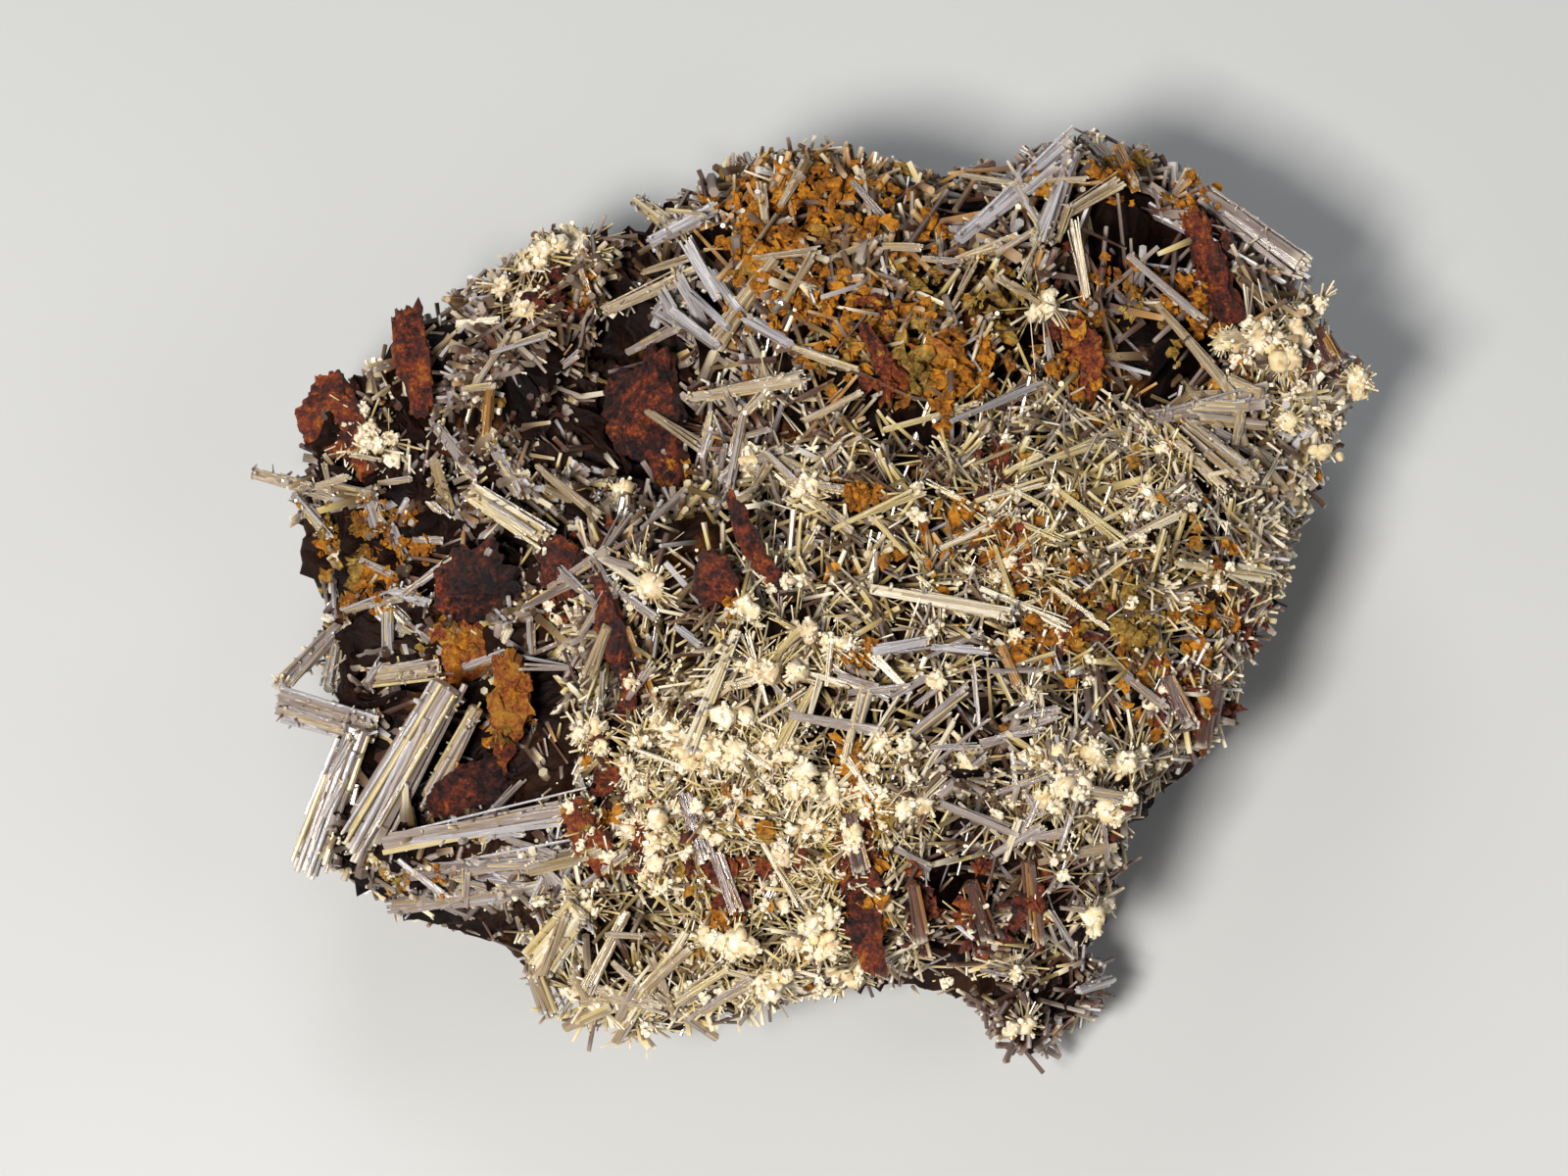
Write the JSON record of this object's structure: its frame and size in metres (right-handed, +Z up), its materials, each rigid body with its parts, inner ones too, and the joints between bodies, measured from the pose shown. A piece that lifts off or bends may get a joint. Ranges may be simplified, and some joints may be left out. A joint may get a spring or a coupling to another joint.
{
  "type": "vanadinite specimen",
  "caption": "Mineral specimen: a tangle of slim six-sided vanadinite crystals crossing each other on a red-brown iron-oxide matrix, lying on its flat broken back.",
  "frame": {"origin": "on the flat broken back, below the middle of the specimen's box", "axes": "+X along the specimen's longest side, +Z up from the flat back, out of the crystals"},
  "size_m": [0.0812, 0.0708, 0.0296],
  "materials": {
    "ironstone": "rough",
    "needle_crust": "satin",
    "iron_plate": "satin",
    "ochre": "matte",
    "cream_prism": "satin",
    "grey_prism": "gloss"
  },
  "bodies": {
    "root": {"bright_lath": "grey_prism", "bright_leg": "grey_prism", "bright_upper": "grey_prism", "cave_arm": "grey_prism", "cave_bundle": "grey_prism", "centre_long": "cream_prism", "centre_white": "grey_prism", "cream_bundle": "cream_prism", "cross_bar": "grey_prism", "crown_block": "grey_prism", "crown_main": "grey_prism", "crown_upright": "grey_prism", "dark_knob": "iron_plate", "dark_spine": "iron_plate", "diagonal_side": "grey_prism", "edge_beam": "grey_prism", "edge_stub": "grey_prism", "elbow_prism": "grey_prism", "far_left_bar": "grey_prism", "far_left_foot": "grey_prism", "fist_prism": "grey_prism", "foot_slab": "cream_prism", "front_knob": "needle_crust", "front_plate": "iron_plate", "hollow_bar": "grey_prism", "ledge_lower": "grey_prism", "ledge_middle": "grey_prism", "ledge_upper": "grey_prism", "left_brace": "grey_prism", "left_crust": "needle_crust", "left_diagonal": "grey_prism", "left_leg": "grey_prism", "left_plate": "iron_plate", "left_post": "grey_prism", "left_slant": "grey_prism", "maroon_dome": "iron_plate", "maroon_floor": "iron_plate", "matrix": "ironstone", "needle_crust": "needle_crust", "ochre_flap": "ochre", "ochre_slope": "ochre", "ochre_tongue": "ochre", "pit_bar": "grey_prism", "pit_edge_post": "grey_prism", "pit_plate": "iron_plate", "red_plate": "iron_plate", "ridge_plate": "iron_plate", "rust_dome": "iron_plate", "rust_flake": "iron_plate", "spear_plate": "iron_plate", "strip_plate": "iron_plate", "thin_plate": "iron_plate", "upper_crossing": "grey_prism"}
  },
  "joints": []
}
